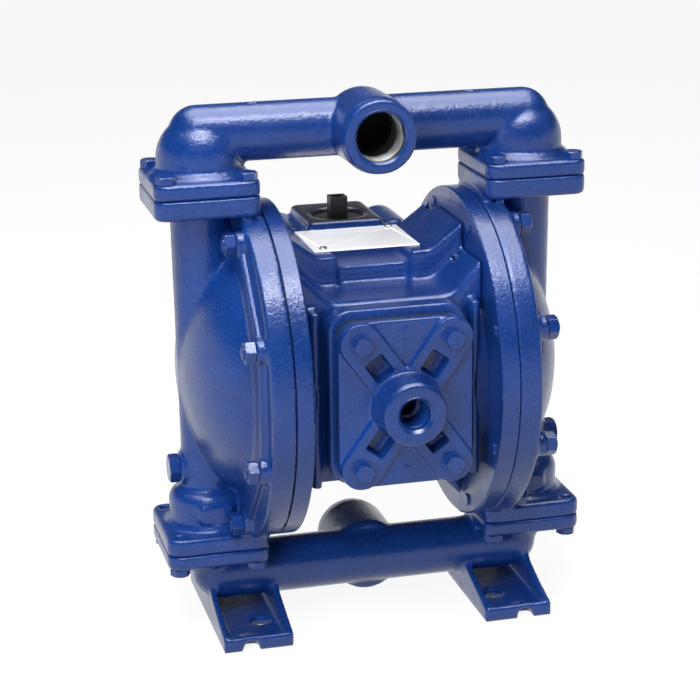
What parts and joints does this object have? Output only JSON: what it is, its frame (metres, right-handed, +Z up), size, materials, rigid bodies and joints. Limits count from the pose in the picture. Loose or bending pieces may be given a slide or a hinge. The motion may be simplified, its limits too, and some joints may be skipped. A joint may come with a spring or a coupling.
{
  "type": "air-operated double-diaphragm pump",
  "caption": "Air-operated double-diaphragm pump with domed side chambers, ball-check columns, top and bottom pipe manifolds, footed base and a front air inlet.",
  "frame": {"origin": "on the ground midway between the feet, below the centre of the rod", "axes": "+Z up, +X along the diaphragm rod to the right chamber, -Y to the front with the discharge port and the air inlet"},
  "size_m": [0.2694, 0.234, 0.3373],
  "materials": {
    "blue_enamel": "glossy enamel over cast metal",
    "zinc_plated_steel": "zinc plated",
    "bright_steel": "ground",
    "machined_aluminium": "machined",
    "diaphragm_rubber": "matt",
    "gasket_black": "matt",
    "ball_white": "smooth",
    "seat_steel": "turned",
    "seal_white": "smooth",
    "bearing_bronze": "turned",
    "plug_black": "matt moulded",
    "nameplate_white": "satin, bare"
  },
  "bodies": {
    "pump_body": {"air_inlet_cap": "blue_enamel", "check_valve_seals": "seal_white", "check_valve_seats": "seat_steel", "discharge_flange_bolts": "blue_enamel", "discharge_manifold": "blue_enamel", "end_cap_screws": "zinc_plated_steel", "exhaust_plug": "plug_black", "inlet_cap_gasket": "gasket_black", "inlet_cap_screws": "blue_enamel", "intermediate_housing": "blue_enamel", "left_diaphragm": "diaphragm_rubber", "left_inner_chamber": "blue_enamel", "left_outer_chamber": "blue_enamel", "left_ring_bolts": "zinc_plated_steel", "left_ring_nuts": "blue_enamel", "main_valve_body": "blue_enamel", "main_valve_end_caps": "blue_enamel", "main_valve_gasket": "gasket_black", "main_valve_screws": "blue_enamel", "main_valve_sleeve": "machined_aluminium", "nameplate": "nameplate_white", "nameplate_screws": "bright_steel", "pilot_body_gasket": "gasket_black", "pilot_valve_body": "blue_enamel", "pilot_valve_sleeve": "machined_aluminium", "plunger_bushings": "bearing_bronze", "priming_plugs": "blue_enamel", "right_diaphragm": "diaphragm_rubber", "right_inner_chamber": "blue_enamel", "right_outer_chamber": "blue_enamel", "right_ring_bolts": "zinc_plated_steel", "right_ring_nuts": "blue_enamel", "rod_bushings": "bearing_bronze", "rod_seals": "gasket_black", "suction_flange_bolts": "blue_enamel", "suction_manifold": "blue_enamel"},
    "rod_assembly": {"diaphragm_rod": "bright_steel", "left_inner_plate": "machined_aluminium", "right_inner_plate": "machined_aluminium", "left_outer_plate": "machined_aluminium", "right_outer_plate": "machined_aluminium", "rod_nuts": "bright_steel"},
    "pilot_spool": {"pilot_spool": "machined_aluminium"},
    "left_plunger": {"left_plunger": "bright_steel"},
    "right_plunger": {"right_plunger": "bright_steel"},
    "main_valve_spool": {"main_valve_spool": "machined_aluminium"},
    "left_suction_ball": {"left_suction_ball": "ball_white"},
    "right_suction_ball": {"right_suction_ball": "ball_white"},
    "left_discharge_ball": {"left_discharge_ball": "ball_white"},
    "right_discharge_ball": {"right_discharge_ball": "ball_white"}
  },
  "joints": [
    {"name": "rod_slide", "type": "slide", "parent": "pump_body", "child": "rod_assembly", "axis": [1, 0, 0], "range_m": [-0.012, 0.012], "deforming": ["left_diaphragm", "right_diaphragm"]},
    {"name": "pilot_spool_slide", "type": "slide", "parent": "pump_body", "child": "pilot_spool", "axis": [1, 0, 0], "range_m": [-0.005, 0.005]},
    {"name": "left_plunger_slide", "type": "slide", "parent": "pump_body", "child": "left_plunger", "axis": [1, 0, 0], "range_m": [-0.005, 0.005]},
    {"name": "right_plunger_slide", "type": "slide", "parent": "pump_body", "child": "right_plunger", "axis": [1, 0, 0], "range_m": [-0.005, 0.005]},
    {"name": "main_spool_slide", "type": "slide", "parent": "pump_body", "child": "main_valve_spool", "axis": [1, 0, 0], "range_m": [-0.008, 0.008]},
    {"name": "left_suction_ball_lift", "type": "slide", "parent": "pump_body", "child": "left_suction_ball", "axis": [0, 0, 1], "range_m": [0, 0.01]},
    {"name": "right_suction_ball_lift", "type": "slide", "parent": "pump_body", "child": "right_suction_ball", "axis": [0, 0, 1], "range_m": [0, 0.01]},
    {"name": "left_discharge_ball_lift", "type": "slide", "parent": "pump_body", "child": "left_discharge_ball", "axis": [0, 0, 1], "range_m": [0, 0.01]},
    {"name": "right_discharge_ball_lift", "type": "slide", "parent": "pump_body", "child": "right_discharge_ball", "axis": [0, 0, 1], "range_m": [0, 0.01]}
  ],
  "couplings": [
    {"joint": "pilot_spool_slide", "follows": "rod_slide", "ratio": 0.41666},
    {"joint": "left_plunger_slide", "follows": "rod_slide", "ratio": 0.41666},
    {"joint": "right_plunger_slide", "follows": "rod_slide", "ratio": 0.41666}
  ]
}
